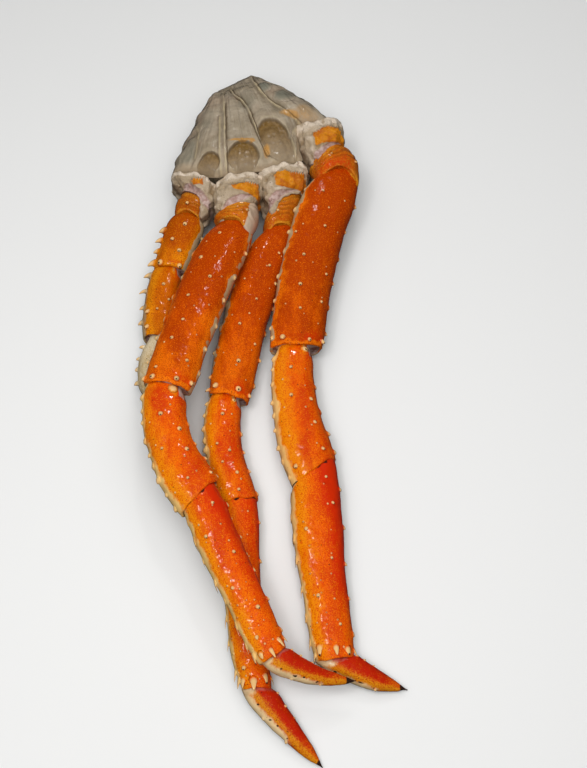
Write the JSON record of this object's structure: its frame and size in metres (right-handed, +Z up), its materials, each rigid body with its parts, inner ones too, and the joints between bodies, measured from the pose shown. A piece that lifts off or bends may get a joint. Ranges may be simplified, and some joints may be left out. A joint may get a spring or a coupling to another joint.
{
  "type": "king crab leg cluster",
  "caption": "Cooked king crab leg cluster lying flat: pale split shoulder with a claw arm and spiny orange walking legs.",
  "frame": {"origin": "on the plate, under the middle of the box round the whole cluster", "axes": "+Z up, +Y from the claw tips to the shoulder, +X from the claw arm's side to the last leg's"},
  "size_m": [0.1931, 0.5442, 0.0571],
  "materials": {
    "grey_flesh": "wet, thin pale shell walls over grey meat",
    "bright_shell": "wet cooked crab shell",
    "white_shell": "wet cooked crab shell",
    "ochre_shell": "wet cooked crab shell",
    "orange_shell": "wet cooked crab shell",
    "claw_red": "wet cooked crab shell"
  },
  "bodies": {
    "root": {"shoulder": "grey_flesh", "arm_carpus": "bright_shell", "arm_coxa": "white_shell", "arm_finger": "white_shell", "arm_ischium": "ochre_shell", "arm_merus": "orange_shell", "arm_palm": "white_shell", "leg_1_carpus": "bright_shell", "leg_1_coxa": "white_shell", "leg_1_dactyl": "claw_red", "leg_1_ischium": "ochre_shell", "leg_1_merus": "orange_shell", "leg_1_propodus": "bright_shell", "leg_2_carpus": "bright_shell", "leg_2_coxa": "white_shell", "leg_2_dactyl": "claw_red", "leg_2_ischium": "ochre_shell", "leg_2_merus": "orange_shell", "leg_2_propodus": "bright_shell", "leg_3_carpus": "bright_shell", "leg_3_coxa": "white_shell", "leg_3_dactyl": "claw_red", "leg_3_ischium": "ochre_shell", "leg_3_merus": "orange_shell", "leg_3_propodus": "bright_shell"}
  },
  "joints": []
}
